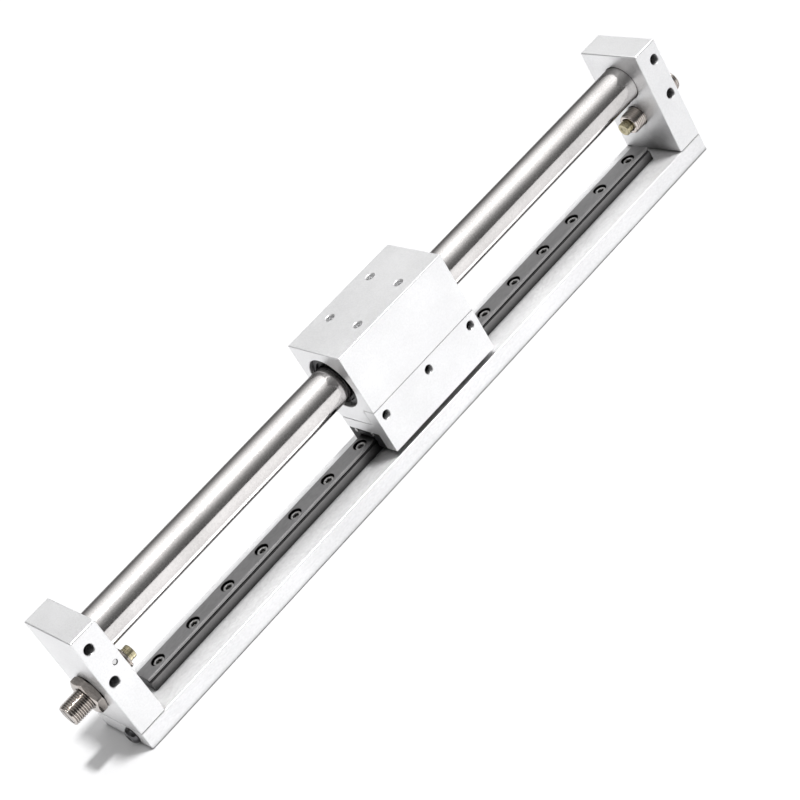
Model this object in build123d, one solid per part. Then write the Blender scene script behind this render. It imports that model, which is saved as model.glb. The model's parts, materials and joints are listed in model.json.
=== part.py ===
from build123d import *
import math
import os

# Magnetically coupled rodless cylinder with a miniature guide rail.
# Millimetres. Origin at the centre of the base's bottom face, +Z up,
# +X along the cylinder: the near end is at -X and the far end at +X.

os.makedirs("parts", exist_ok=True)

# Clearances
running_gap = 0.05        # radial, shaft in bore, between parts that slide
seat_gap = 0.05           # radial, between a part and the seat that holds it
free_gap = 0.3            # between moving parts that do not touch
thread_gap = 0.05         # radial, screw in its tapped hole

# Base
base_length = 355.0
body_width = 33.5
base_thickness = 8.5
base_edge = 0.5

# End plates
plate_thickness = 13.0
plate_height = 51.0
plate_edge = 0.5
port_inset = 4.5          # port axis from the plate's outer face
port_upper_z = 52.0
port_lower_z = 34.0
port_core_radius = 2.1    # M5
port_mouth_radius = 2.5
port_thread_length = 6.0
passage_radius = 1.25
ball_plug_inset = 9.2     # plug axis from the plate's outer face
ball_plug_z = 40.0
ball_plug_radius = 1.25
ball_plug_hole_depth = 5.0
ball_plug_sink = 0.3

# Tube
tube_radius = 8.6
tube_wall = 0.6
tube_z = 44.5
tube_socket_depth = 5.0
pocket_radius = 7.4
pocket_depth = 4.0
tube_seal_wire = 0.6      # radius of the O-ring's section
tube_seal_inset = 2.4     # seal groove from the plate's inner face

# Air channel in the base
channel_y = -6.5
channel_z = 4.25
channel_radius = 1.25
riser_y = -7.0
riser_inset = 6.5         # riser axis from the base's end
riser_radius = 1.0
channel_seal_radius = 1.8
channel_seal_wire = 0.5

# Guide rail
rail_width = 9.0
rail_height = 6.5
rail_gap_near = 5.0       # rail end to end plate
rail_gap_far = 6.0
rail_end_distance = 6.0   # least distance from a hole to the rail's end
rail_hole_pitch = 20.0
rail_counterbore_radius = 3.0
rail_counterbore_depth = 3.5
rail_hole_radius = 1.75
rail_edge = 0.4
ball_radius = 0.75
ball_row_height = 4.8     # ball centres above the base

# Screws: thread radius, head radius, head height, hexagon across flats
m2 = (1.0, 1.9, 2.0, 1.5)
m2_5 = (1.25, 2.25, 2.5, 2.0)
m3 = (1.5, 2.75, 3.0, 2.5)
rail_screw_length = 8.0
plate_screw_length = 14.0
plate_screw_y = 12.0
head_gap = 0.15
through_gap = 0.2

# Channel plugs: M4 button-head screws
plug_thread_radius = 2.0
plug_head_radius = 3.8
plug_head_height = 2.2
plug_flat_radius = 1.9
plug_hexagon = 2.5
plug_length = 5.0
plug_hole_depth = 6.5
hexagon_depth = 1.3

# Mounting holes in the base
mount_spacing_x = 280.0
mount_spacing_y = 24.0
m4_core_radius = 1.65
m4_mouth_radius = 2.1
mount_hole_depth = 6.0

# Slider
slider_center_x = 5.2
slider_length = 62.2
slider_top_z = 61.5
slider_edge = 0.4
rebate_z = 32.0           # top of the bracket's side wall
chamfer_z = 34.0          # top of the slanted lower edge on +Y
bracket_top_z = 24.1
bracket_wall = 6.5
wall_bottom_z = 11.0
bracket_shelf_y = 9.8     # far edge of the bracket's plate, and of the block's foot
slider_bore_radius = 12.4
recess_depth = 1.5
table_hole_spacing_x = 25.0
table_hole_spacing_y = 18.0
table_hole_depth = 5.5
side_hole_pitch = 26.5
side_hole_z = 27.3
side_hole_radius = 2.15
side_hole_depth = 5.0
side_screw_length = 8.0
shelf_screw_length = 5.5

# Magnets, yokes and what holds them in the slider
magnet_count = 4
yoke_length = 4.0
wear_ring_length = 5.9
outer_ring_inner_radius = 9.1
retaining_ring_thickness = 1.0
retaining_ring_depth = 0.6
retaining_ring_radial = 2.2
retaining_ring_opening = 5.0
scraper_length = 2.4
scraper_lip = 1.0

# Piston
shaft_radius = 2.0
piston_radius = 7.6
piston_end_length = 9.0
piston_seal_width = 2.0
piston_ring_width = 2.6
piston_groove_depth = 1.4
piston_land = 1.2
nut_across_flats = 7.0
nut_length = 2.5
bumper_length = 3.2
bumper_radius = 6.4
bumper_inner_radius = 4.4

# Guide blocks
block_width = 20.0
block_height = 8.0
block_clearance_below = 2.0
block_gap = 4.4           # between the two guide blocks
cap_length = 4.1
end_seal_length = 0.9
cap_inset = 0.2
block_screw_spacing_x = 10.0
block_screw_spacing_y = 13.0
block_screw_depth = 3.0
return_row_y = 7.4
cap_screw_y = 5.2
cap_screw_height = 6.9    # above the block's bottom
cap_screw_radius = 0.5
cap_screw_head_radius = 0.95
cap_screw_head_height = 0.35
block_edge = 0.5

# Shock absorbers
absorber_z = 27.0
absorber_length = 31.0
absorber_inside_near = 4.7   # how far the body stands in from the end plate
absorber_inside_far = 6.4
absorber_radius = 4.9     # M10 crest
thread_depth = 0.5
thread_pitch = 1.0
absorber_bore_radius = 3.3
plunger_cap_radius = 3.0
plunger_cap_length = 4.0
plunger_projection = 3.6
plunger_stroke = 3.3
absorber_rod_radius = 1.2
bush_length = 4.0
absorber_head_length = 3.0
end_plug_length = 3.0
slot_width = 1.0
slot_depth = 1.2
spring_wire = 0.35
spring_radius = 2.5
spring_turns = 7
lock_nut_across_flats = 13.0
lock_nut_thickness = 4.0
lock_nut_turn = 25.0      # degrees from a corner straight up

# Worked out from the sizes above
base_end = base_length / 2
body_side = body_width / 2
plate_inner = base_end - plate_thickness
plate_top_z = base_thickness + plate_height
tube_bore_radius = tube_radius - tube_wall
rail_top_z = base_thickness + rail_height
rail_start = -plate_inner + rail_gap_near
rail_length = 2 * plate_inner - rail_gap_near - rail_gap_far
rail_center_x = rail_start + rail_length / 2
rail_hole_count = 1 + int((rail_length - 2 * rail_end_distance) / rail_hole_pitch)
ball_row_z = base_thickness + ball_row_height
slider_start = slider_center_x - slider_length / 2
slider_end = slider_center_x + slider_length / 2
wall_inner_y = -body_side + bracket_wall
guide_bottom_z = base_thickness + block_clearance_below
guide_top_z = guide_bottom_z + block_height
block_length = (slider_length - block_gap) / 2
steel_length = block_length - 2 * (cap_length + end_seal_length)
yoke_count = magnet_count + 1
ring_groove_start = recess_depth
scraper_start = ring_groove_start + retaining_ring_thickness + 2 * seat_gap
wear_ring_start = scraper_start + scraper_length + seat_gap
stack_length = slider_length - 2 * (wear_ring_start + wear_ring_length + seat_gap)
magnet_length = (stack_length - yoke_count * yoke_length) / magnet_count
ring_outer_radius = slider_bore_radius - seat_gap
port_x = base_end - port_inset
riser_x = base_end - riser_inset
plate_middle_x = base_end - plate_thickness / 2


def block(x0, x1, y0, y1, z0, z1):
    size = (x1 - x0, y1 - y0, z1 - z0)
    return Pos((x0 + x1) / 2, (y0 + y1) / 2, (z0 + z1) / 2) * Box(*size)


def rod_x(x0, x1, radius, y=0.0, z=0.0):
    return Pos((x0 + x1) / 2, y, z) * Rot(0, 90, 0) * Cylinder(radius, abs(x1 - x0))


def rod_y(y0, y1, radius, x, z):
    return Pos(x, (y0 + y1) / 2, z) * Rot(90, 0, 0) * Cylinder(radius, abs(y1 - y0))


def rod_z(z0, z1, radius, x, y):
    return Pos(x, y, (z0 + z1) / 2) * Cylinder(radius, abs(z1 - z0))


def ring_x(x0, x1, outer, inner, y=0.0, z=0.0):
    return rod_x(x0, x1, outer, y, z) - rod_x(x0 - 1, x1 + 1, inner, y, z)


def hexagon_z(z0, z1, across_flats, x, y):
    outline = RegularPolygon(across_flats / math.sqrt(3), 6)
    return Pos(x, y, z0) * extrude(outline, z1 - z0)


def hexagon_x(x0, x1, across_flats, y, z, turn=0.0):
    outline = RegularPolygon(across_flats / math.sqrt(3), 6)
    return Pos(x0, y, z) * Rot(0, 90, 0) * Rot(0, 0, turn) * extrude(outline, x1 - x0)


def extruded_along_x(outline, x0, x1):
    """A (y, z) outline carried from x0 to x1."""
    face = make_face(Polyline(*[(x0, y, z) for y, z in outline], close=True))
    return extrude(face, x1 - x0, dir=(1, 0, 0))


def turned(profile, y, z):
    """A closed (x, radius) profile turned about the line through y, z along X."""
    face = make_face(Polyline(*[(x, y, z + radius) for x, radius in profile], close=True))
    return revolve(face, Axis((0, y, z), (1, 0, 0)), 360)


def mouth_z(z, core, mouth, x, y, up):
    """Countersink that opens from the core radius to the mouth at height z."""
    depth = mouth - core
    if up:
        return Pos(x, y, z - depth / 2) * Cone(core, mouth, depth)
    return Pos(x, y, z + depth / 2) * Cone(mouth, core, depth)


def mouth_front(y, core, mouth, x, z):
    """Countersink in the -Y side face."""
    depth = mouth - core
    return Pos(x, y + depth / 2, z) * Rot(90, 0, 0) * Cone(core, mouth, depth)


def socket_screw(size, length, x, y, seat_z):
    """Socket-head screw, head up, seated at seat_z."""
    thread, head, height, flats = size
    shape = rod_z(seat_z, seat_z + height, head, x, y)
    shape = chamfer(shape.edges().group_by(Axis.Z)[-1], height * 0.08)
    shape += rod_z(seat_z - length, seat_z, thread, x, y)
    return shape - hexagon_z(seat_z + height / 2, seat_z + height + 1, flats, x, y)


def save(shape, name):
    if isinstance(shape, (list, tuple)):
        shape = Compound(children=list(shape))
    export_step(shape, "parts/" + name + ".step")


# Places that repeat
ends = (("near", -1), ("far", 1))
rail_hole_first = rail_center_x - (rail_hole_count - 1) * rail_hole_pitch / 2
rail_hole_xs = [rail_hole_first + i * rail_hole_pitch for i in range(rail_hole_count)]
rail_seat_z = rail_top_z - rail_counterbore_depth
plate_screw_places = [(side * plate_middle_x, y)
                      for _, side in ends for y in (-plate_screw_y, plate_screw_y)]
mount_places = [(x, y) for x in (-mount_spacing_x / 2, mount_spacing_x / 2)
                for y in (-mount_spacing_y / 2, mount_spacing_y / 2)]
table_places = [(slider_center_x + x, y)
                for x in (-table_hole_spacing_x / 2, table_hole_spacing_x / 2)
                for y in (-table_hole_spacing_y / 2, table_hole_spacing_y / 2)]
side_hole_xs = [slider_center_x + i * side_hole_pitch for i in (-1, 0, 1)]
guide_blocks = (("guide_block_a", slider_start + block_length / 2),
                ("guide_block_b", slider_end - block_length / 2))
plate_screw_seat_z = m3[2] + head_gap


# Base plate with the rail's tapped holes, the end plate screws' holes,
# the mounting holes and the air channel
def make_base():
    shape = block(-base_end, base_end, -body_side, body_side, 0, base_thickness)
    shape = chamfer(shape.edges().filter_by(Axis.Z), base_edge)
    for x in rail_hole_xs:
        shape -= rod_z(rail_seat_z - rail_screw_length - free_gap, base_thickness + 1,
                       m3[0] + thread_gap, x, 0)
    for x, y in plate_screw_places:
        shape -= rod_z(-1, plate_screw_seat_z, m3[1] + head_gap, x, y)
        shape -= rod_z(0, base_thickness + 1, m3[0] + through_gap, x, y)
    for x, y in mount_places:
        shape -= rod_z(-1, mount_hole_depth, m4_core_radius, x, y)
        shape -= mouth_z(0, m4_core_radius, m4_mouth_radius, x, y, False)
    shape -= rod_x(-base_end + 1, base_end - 1, channel_radius, channel_y, channel_z)
    for _, side in ends:
        inner = side * (base_end - plug_hole_depth)
        shape -= rod_x(inner, side * (base_end + 1), plug_thread_radius + thread_gap,
                       channel_y, channel_z)
        shape -= rod_z(channel_z, base_thickness + 1, riser_radius, side * riser_x, riser_y)
        shape -= Pos(side * riser_x, riser_y, base_thickness) * Cylinder(
            channel_seal_radius + channel_seal_wire + seat_gap, 4 * channel_seal_wire)
    return shape


# One end plate: tube socket, absorber thread, ports, risers
def make_end_plate(side):
    outer = side * base_end
    inner = side * plate_inner
    shape = block(min(outer, inner), max(outer, inner), -body_side, body_side,
                  base_thickness, plate_top_z)
    shape = chamfer(shape.edges().filter_by(Axis.Z), plate_edge)
    shape = chamfer(shape.edges().group_by(Axis.Z)[-1], plate_edge * 0.6)
    socket_end = inner + side * tube_socket_depth
    shape -= rod_x(inner - side, socket_end, tube_radius + seat_gap, 0, tube_z)
    groove_outer = tube_radius + 2 * tube_seal_wire + 3 * seat_gap
    groove_x = inner + side * tube_seal_inset
    shape -= rod_x(groove_x - tube_seal_wire - seat_gap, groove_x + tube_seal_wire + seat_gap,
                   groove_outer, 0, tube_z)
    shape -= rod_x(inner, socket_end + side * pocket_depth, pocket_radius, 0, tube_z)
    shape -= rod_x(inner - side, outer + side, absorber_radius + thread_gap, 0, absorber_z)
    passage_ends = {port_upper_z: -2.0, port_lower_z: riser_y + 0.5}
    for z, passage_end in passage_ends.items():
        shape -= rod_y(-body_side - 1, -body_side + port_thread_length,
                       port_core_radius, side * port_x, z)
        shape -= mouth_front(-body_side, port_core_radius, port_mouth_radius,
                             side * port_x, z)
        shape -= rod_y(-body_side, passage_end, passage_radius, side * port_x, z)
    riser_top = port_lower_z if side < 0 else tube_z
    shape -= rod_z(base_thickness - 1, riser_top, riser_radius, side * riser_x, riser_y)
    if side < 0:
        shape -= rod_y(-body_side - 1, -body_side + ball_plug_hole_depth,
                       ball_plug_radius + seat_gap / 2,
                       side * (base_end - ball_plug_inset), ball_plug_z)
    for x, y in plate_screw_places:
        if x * side > 0:
            top = plate_screw_seat_z + plate_screw_length + free_gap
            shape -= rod_z(base_thickness - 1, top, m3[0] + thread_gap, x, y)
    return shape


# Rail with ball grooves along both sides and counterbored holes
def make_rail():
    half = rail_width / 2
    shape = block(rail_start, rail_start + rail_length, -half, half,
                  base_thickness, rail_top_z)
    shape = chamfer(shape.edges().filter_by(Axis.X).group_by(Axis.Z)[-1], rail_edge)
    groove = ball_radius + running_gap
    for y in (-half, half):
        shape -= rod_x(rail_start - 1, rail_start + rail_length + 1, groove, y, ball_row_z)
    for x in rail_hole_xs:
        shape -= rod_z(rail_seat_z, rail_top_z + 1, rail_counterbore_radius, x, 0)
        shape -= rod_z(base_thickness - 1, rail_top_z, rail_hole_radius, x, 0)
    return shape


def make_rail_screws():
    return [socket_screw(m3, rail_screw_length, x, 0, rail_seat_z) for x in rail_hole_xs]


def make_plate_screws():
    screws = []
    for x, y in plate_screw_places:
        upright = socket_screw(m3, plate_screw_length, 0, 0, 0)
        screws.append(Pos(x, y, plate_screw_seat_z) * Rot(180, 0, 0) * upright)
    return screws


# Button-head screw that closes one end of the air channel
def make_channel_plug(side):
    face = side * base_end
    height = plug_head_height
    rim = (face, channel_y, channel_z + plug_head_radius)
    flat = (face + side * height, channel_y, channel_z + plug_flat_radius)
    shoulder = (face + side * height * 0.72, channel_y,
                channel_z + (plug_head_radius + plug_flat_radius) * 0.58)
    front = (face + side * height, channel_y, channel_z)
    back = (face, channel_y, channel_z)
    outline = [Line(back, rim), ThreePointArc(rim, shoulder, flat), Line(flat, front),
               Line(front, back)]
    shape = revolve(make_face(outline), Axis(back, (1, 0, 0)), 360)
    shape += rod_x(face - side * plug_length, face, plug_thread_radius, channel_y, channel_z)
    low, high = sorted((face + side * (height - hexagon_depth), face + side * (height + 1)))
    return shape - hexagon_x(low, high, plug_hexagon, channel_y, channel_z)


def make_ball_plug():
    y = -body_side + ball_plug_radius + ball_plug_sink
    return Pos(-base_end + ball_plug_inset, y, ball_plug_z) * Sphere(ball_plug_radius)


def make_tube():
    end = plate_inner + tube_socket_depth - seat_gap
    return ring_x(-end, end, tube_radius, tube_bore_radius, 0, tube_z)


def make_tube_seals():
    radius = tube_radius + tube_seal_wire + seat_gap
    seals = []
    for _, side in ends:
        x = side * (plate_inner + tube_seal_inset)
        seals.append(Pos(x, 0, tube_z) * Rot(0, 90, 0) * Torus(radius, tube_seal_wire))
    return seals


def make_channel_seals():
    z = base_thickness - channel_seal_wire
    return [Pos(side * riser_x, riser_y, z) * Torus(channel_seal_radius, channel_seal_wire)
            for _, side in ends]


# Slider block: a (y, z) section with the bore for the tube and magnets
def make_slider_block():
    outline = [(-body_side, slider_top_z), (body_side, slider_top_z),
               (body_side, chamfer_z), (bracket_shelf_y, bracket_top_z),
               (wall_inner_y, bracket_top_z), (wall_inner_y, rebate_z),
               (-body_side, rebate_z)]
    shape = extruded_along_x(outline, slider_start, slider_end)
    top_edges = shape.faces().sort_by(Axis.Z)[-1].edges()
    shape = chamfer(top_edges, slider_edge)
    shape -= rod_x(slider_start - 1, slider_end + 1, slider_bore_radius, 0, tube_z)
    groove = retaining_ring_thickness + seat_gap
    for face, way in ((slider_start, 1), (slider_end, -1)):
        start = face + way * ring_groove_start
        shape -= rod_x(start, start + way * groove,
                       slider_bore_radius + retaining_ring_depth + seat_gap, 0, tube_z)
    for x, y in table_places:
        shape -= rod_z(slider_top_z - table_hole_depth, slider_top_z + 1,
                       m4_core_radius, x, y)
        shape -= mouth_z(slider_top_z, m4_core_radius, m4_mouth_radius, x, y, True)
    for x in side_hole_xs:
        shape -= rod_y(wall_inner_y - 1, side_screw_seat_y() + side_screw_length + free_gap,
                       m2[0] + thread_gap, x, side_hole_z)
    return shape


def side_screw_seat_y():
    return -body_side + side_hole_depth


# Bracket: a plate over the guide blocks and a side wall beside them
def make_bracket():
    outline = [(-body_side, wall_bottom_z), (wall_inner_y, wall_bottom_z),
               (wall_inner_y, guide_top_z), (bracket_shelf_y, guide_top_z),
               (bracket_shelf_y, bracket_top_z), (wall_inner_y, bracket_top_z),
               (wall_inner_y, rebate_z), (-body_side, rebate_z)]
    shape = extruded_along_x(outline, slider_start, slider_end)
    for x in side_hole_xs:
        shape -= rod_y(-body_side - 1, side_screw_seat_y(), side_hole_radius, x, side_hole_z)
        shape -= rod_y(-body_side, wall_inner_y + 1, m2[0] + through_gap, x, side_hole_z)
    for x, y in shelf_screw_places():
        shape -= rod_z(shelf_screw_seat_z(), bracket_top_z + 1, m2_5[1] + head_gap, x, y)
        shape -= rod_z(guide_top_z - 1, bracket_top_z, m2_5[0] + through_gap, x, y)
    return shape


def shelf_screw_seat_z():
    return bracket_top_z - m2_5[2] - head_gap


def shelf_screw_places():
    return [(center + x, y) for _, center in guide_blocks
            for x in (-block_screw_spacing_x / 2, block_screw_spacing_x / 2)
            for y in (-block_screw_spacing_y / 2, block_screw_spacing_y / 2)]


def make_shelf_screws():
    return [socket_screw(m2_5, shelf_screw_length, x, y, shelf_screw_seat_z())
            for x, y in shelf_screw_places()]


def make_side_screws():
    screws = []
    for x in side_hole_xs:
        upright = socket_screw(m2, side_screw_length, 0, 0, 0)
        screws.append(Pos(x, side_screw_seat_y(), side_hole_z) * Rot(90, 0, 0) * upright)
    return screws


# Channel that runs under a guide block, around the rail
def rail_channel(x0, x1):
    half = rail_width / 2 + free_gap
    shape = block(x0 - 1, x1 + 1, -half, half, guide_bottom_z - 1, rail_top_z + free_gap)
    groove = ball_radius + running_gap
    for y in (-rail_width / 2, rail_width / 2):
        shape += rod_x(x0 - 1, x1 + 1, groove, y, ball_row_z)
    return shape


def make_guide_block(center):
    x0 = center - steel_length / 2
    x1 = center + steel_length / 2
    half = block_width / 2
    shape = block(x0, x1, -half, half, guide_bottom_z, guide_top_z)
    shape = chamfer(shape.edges().filter_by(Axis.X), block_edge)
    shape -= rail_channel(x0, x1)
    for y in (-return_row_y, return_row_y):
        shape -= rod_x(x0 - 1, x1 + 1, ball_radius + running_gap, y, ball_row_z)
    for x, y in shelf_screw_places():
        if x0 < x < x1:
            shape -= rod_z(guide_top_z - block_screw_depth, guide_top_z + 1,
                           m2_5[0] + thread_gap, x, y)
    return shape


def cap_places():
    """Start of each end cap along X, and the way from the steel block outwards."""
    places = []
    for _, center in guide_blocks:
        for way in (-1, 1):
            places.append((center + way * steel_length / 2, way))
    return places


def cap_shape(x0, x1):
    half = block_width / 2 - cap_inset
    shape = block(x0, x1, -half, half, guide_bottom_z + cap_inset, guide_top_z - cap_inset)
    shape = chamfer(shape.edges().filter_by(Axis.X), block_edge)
    shape -= rail_channel(x0, x1)
    for y in (-cap_screw_y, cap_screw_y):
        shape -= rod_x(x0 - 1, x1 + 1, cap_screw_radius + thread_gap, y,
                       guide_bottom_z + cap_screw_height)
    return shape


def make_end_caps():
    return [cap_shape(*sorted((x, x + way * cap_length))) for x, way in cap_places()]


def make_end_seals():
    seals = []
    for x, way in cap_places():
        start = x + way * cap_length
        stop = start + way * (end_seal_length - cap_screw_head_height)
        seals.append(cap_shape(*sorted((start, stop))))
    return seals


def make_cap_screws():
    screws = []
    z = guide_bottom_z + cap_screw_height
    for x, way in cap_places():
        seat = x + way * (cap_length + end_seal_length - cap_screw_head_height)
        for y in (-cap_screw_y, cap_screw_y):
            screw = rod_x(seat, seat + way * cap_screw_head_height, cap_screw_head_radius, y, z)
            screws.append(screw + rod_x(x + way * seat_gap, seat, cap_screw_radius, y, z))
    return screws


def make_guide_balls():
    pitch = 2 * ball_radius + seat_gap
    count = int((steel_length - seat_gap) / pitch)
    balls = []
    for _, center in guide_blocks:
        first = center - (count - 1) * pitch / 2
        for y in (-rail_width / 2, rail_width / 2):
            for i in range(count):
                balls.append(Pos(first + i * pitch, y, ball_row_z) * Sphere(ball_radius))
    return balls


def make_stack(center, outer, inner, z):
    """Yokes and magnets in turn along the tube: returns magnets, then yokes."""
    magnets = []
    yokes = []
    x = center - stack_length / 2
    for i in range(yoke_count):
        yokes.append(ring_x(x, x + yoke_length, outer, inner, 0, z))
        x += yoke_length
        if i < magnet_count:
            magnets.append(ring_x(x, x + magnet_length, outer, inner, 0, z))
            x += magnet_length
    return magnets, yokes


def slider_faces():
    return ((slider_start, 1), (slider_end, -1))


def make_wear_rings():
    rings = []
    for face, way in slider_faces():
        x = face + way * wear_ring_start
        rings.append(ring_x(*sorted((x, x + way * wear_ring_length)), ring_outer_radius,
                            tube_radius + running_gap, 0, tube_z))
    return rings


def make_scrapers():
    rings = []
    lip = tube_radius + running_gap
    for face, way in slider_faces():
        x = face + way * scraper_start
        middle = (lip + outer_ring_inner_radius) / 2
        profile = [(x, ring_outer_radius), (x + way * scraper_length, ring_outer_radius),
                   (x + way * scraper_length, outer_ring_inner_radius),
                   (x + way * scraper_lip, middle), (x + way * scraper_lip / 2, lip),
                   (x, lip)]
        rings.append(turned(profile, 0, tube_z))
    return rings


def make_retaining_rings():
    rings = []
    outer = slider_bore_radius + retaining_ring_depth
    inner = slider_bore_radius - retaining_ring_radial
    for face, way in slider_faces():
        x = face + way * ring_groove_start
        low, high = sorted((x, x + way * retaining_ring_thickness))
        ring = ring_x(low, high, outer, inner, 0, tube_z)
        half = retaining_ring_opening / 2
        ring -= block(low - 1, high + 1, -half, half, tube_z - outer - 1, tube_z)
        rings.append(ring)
    return rings


# Piston inside the tube
def piston_end_profile(start, way):
    """A piston end from the magnet stack outwards, with two grooves."""
    bottom = piston_radius - piston_groove_depth
    ring_start = piston_land
    ring_stop = ring_start + piston_ring_width
    seal_start = ring_stop + piston_land
    seal_stop = seal_start + piston_seal_width
    steps = [(0, shaft_radius + seat_gap), (0, piston_radius), (ring_start, piston_radius),
             (ring_start, bottom), (ring_stop, bottom), (ring_stop, piston_radius),
             (seal_start, piston_radius), (seal_start, bottom), (seal_stop, bottom),
             (seal_stop, piston_radius), (piston_end_length, piston_radius),
             (piston_end_length, shaft_radius + seat_gap)]
    return [(start + way * s, radius) for s, radius in steps]


def piston_sides():
    return ((slider_center_x - stack_length / 2, -1), (slider_center_x + stack_length / 2, 1))


def make_piston_ends():
    return [turned(piston_end_profile(x, way), 0, tube_z) for x, way in piston_sides()]


def make_piston_rings(offset, width, gap):
    rings = []
    for x, way in piston_sides():
        start = x + way * (offset + seat_gap)
        stop = x + way * (offset + width - seat_gap)
        rings.append(ring_x(*sorted((start, stop)), tube_bore_radius - gap,
                            piston_radius - piston_groove_depth + seat_gap, 0, tube_z))
    return rings


def make_piston_nuts():
    nuts = []
    for x, way in piston_sides():
        start = x + way * piston_end_length
        low, high = sorted((start, start + way * nut_length))
        nut = hexagon_x(low, high, nut_across_flats, 0, tube_z)
        nuts.append(nut - rod_x(low - 1, high + 1, shaft_radius + thread_gap, 0, tube_z))
    return nuts


def make_bumpers():
    bumpers = []
    for x, way in piston_sides():
        start = x + way * piston_end_length
        bumpers.append(ring_x(*sorted((start, start + way * bumper_length)), bumper_radius,
                              bumper_inner_radius, 0, tube_z))
    return bumpers


def make_piston_shaft():
    half = stack_length / 2 + piston_end_length + nut_length
    return rod_x(slider_center_x - half, slider_center_x + half, shaft_radius, 0, tube_z)


# Shock absorbers. s runs from the absorber's inner end outwards.
def absorber_x(side, s):
    inside = absorber_inside_near if side < 0 else absorber_inside_far
    return side * (plate_inner - inside + s)


def make_absorber_body(side):
    crest = absorber_radius
    root = absorber_radius - thread_depth
    points = [(0.0, absorber_bore_radius), (0.0, root), (thread_depth, crest)]
    turns = int((absorber_length - 2 * thread_depth) / thread_pitch)
    margin = (absorber_length - turns * thread_pitch) / 2
    for i in range(turns):
        s = margin + i * thread_pitch
        points += [(s + 0.1 * thread_pitch, crest), (s + 0.45 * thread_pitch, root),
                   (s + 0.55 * thread_pitch, root), (s + 0.9 * thread_pitch, crest)]
    points += [(absorber_length - thread_depth, crest), (absorber_length, root),
               (absorber_length, absorber_bore_radius)]
    profile = [(absorber_x(side, s), radius) for s, radius in points]
    return turned(profile, 0, absorber_z)


def make_end_plug(side):
    inner, outer = absorber_x(side, absorber_length - end_plug_length), absorber_x(
        side, absorber_length)
    shape = rod_x(inner, outer, absorber_bore_radius - seat_gap / 2, 0, absorber_z)
    low, high = sorted((absorber_x(side, absorber_length - slot_depth), outer + side))
    return shape - block(low, high, -body_side, body_side,
                         absorber_z - slot_width / 2, absorber_z + slot_width / 2)


def cap_back():
    """How far the plunger cap reaches into the absorber's mouth at rest."""
    return plunger_cap_length - plunger_projection


def bush_start():
    return cap_back() + plunger_stroke + free_gap


def head_start():
    return bush_start() + bush_length + free_gap


def make_bush(side):
    inner = absorber_x(side, bush_start())
    outer = absorber_x(side, bush_start() + bush_length)
    return ring_x(*sorted((inner, outer)), absorber_bore_radius,
                  absorber_rod_radius + running_gap, 0, absorber_z)


def make_plunger_cap(side):
    tip = absorber_x(side, -plunger_projection)
    back = absorber_x(side, cap_back())
    shape = rod_x(tip, back, plunger_cap_radius, 0, absorber_z)
    tip_edges = shape.edges().group_by(Axis.X)[-1 if side < 0 else 0]
    shape = fillet(tip_edges, plunger_cap_radius * 0.2)
    seat = absorber_x(side, cap_back() - plunger_cap_length / 2)
    return shape - rod_x(seat, back + side, absorber_rod_radius + seat_gap / 2, 0, absorber_z)


def make_plunger_rod(side):
    seat = absorber_x(side, cap_back() - plunger_cap_length / 2)
    head = absorber_x(side, head_start())
    end = absorber_x(side, head_start() + absorber_head_length)
    shape = rod_x(seat, head, absorber_rod_radius, 0, absorber_z)
    return shape + rod_x(head, end, absorber_bore_radius - running_gap, 0, absorber_z)


def make_return_spring(side):
    start = head_start() + absorber_head_length + spring_wire + seat_gap
    stop = absorber_length - end_plug_length - spring_wire - seat_gap
    height = stop - start
    path = Helix(height / spring_turns, height, spring_radius)
    section = Plane(origin=path @ 0, z_dir=path % 0) * Circle(spring_wire)
    coil = sweep(section, path=path)
    x = absorber_x(side, start if side > 0 else stop)
    return Pos(x, 0, absorber_z) * Rot(0, 90, 0) * coil


def make_lock_nut(side):
    face = side * base_end
    low, high = sorted((face, face + side * lock_nut_thickness))
    nut = hexagon_x(low, high, lock_nut_across_flats, 0, absorber_z, lock_nut_turn)
    corner = lock_nut_across_flats / math.sqrt(3)
    slope = corner - lock_nut_across_flats / 2
    drop = slope * math.tan(math.radians(30))
    barrel = turned([(low, 0), (low, corner - slope), (low + drop, corner + 0.01),
                     (high - drop, corner + 0.01), (high, corner - slope), (high, 0)],
                    0, absorber_z)
    nut &= barrel
    return nut - rod_x(low - 1, high + 1, absorber_radius + thread_gap, 0, absorber_z)


outer_magnets, outer_yokes = make_stack(slider_center_x, ring_outer_radius,
                                        outer_ring_inner_radius, tube_z)
inner_magnets, inner_yokes = make_stack(slider_center_x, piston_radius,
                                        shaft_radius + seat_gap, tube_z)
ring_offset = piston_land
seal_offset = 2 * piston_land + piston_ring_width

save(make_base(), "base_plate")
save(make_tube(), "cylinder_tube")
save(make_rail(), "guide_rail")
save(make_rail_screws(), "rail_screws")
save(make_plate_screws(), "end_plate_screws")
save(make_ball_plug(), "port_ball_plug")
save(make_tube_seals(), "tube_seals")
save(make_channel_seals(), "channel_seals")
save(make_slider_block(), "slider_block")
save(make_bracket(), "slider_bracket")
save(make_shelf_screws(), "guide_block_screws")
save(make_side_screws(), "bracket_screws")
save(make_end_caps(), "guide_end_caps")
save(make_end_seals(), "guide_end_seals")
save(make_cap_screws(), "guide_cap_screws")
save(make_guide_balls(), "guide_balls")
save(outer_magnets, "outer_magnets")
save(outer_yokes, "outer_yokes")
save(make_wear_rings(), "slider_wear_rings")
save(make_scrapers(), "slider_scrapers")
save(make_retaining_rings(), "retaining_rings")
save(make_piston_shaft(), "piston_shaft")
save(inner_magnets, "inner_magnets")
save(inner_yokes, "inner_yokes")
save(make_piston_ends(), "piston_ends")
save(make_piston_rings(ring_offset, piston_ring_width, running_gap), "piston_wear_rings")
save(make_piston_rings(seal_offset, piston_seal_width, running_gap), "piston_seals")
save(make_piston_nuts(), "piston_nuts")
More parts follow.
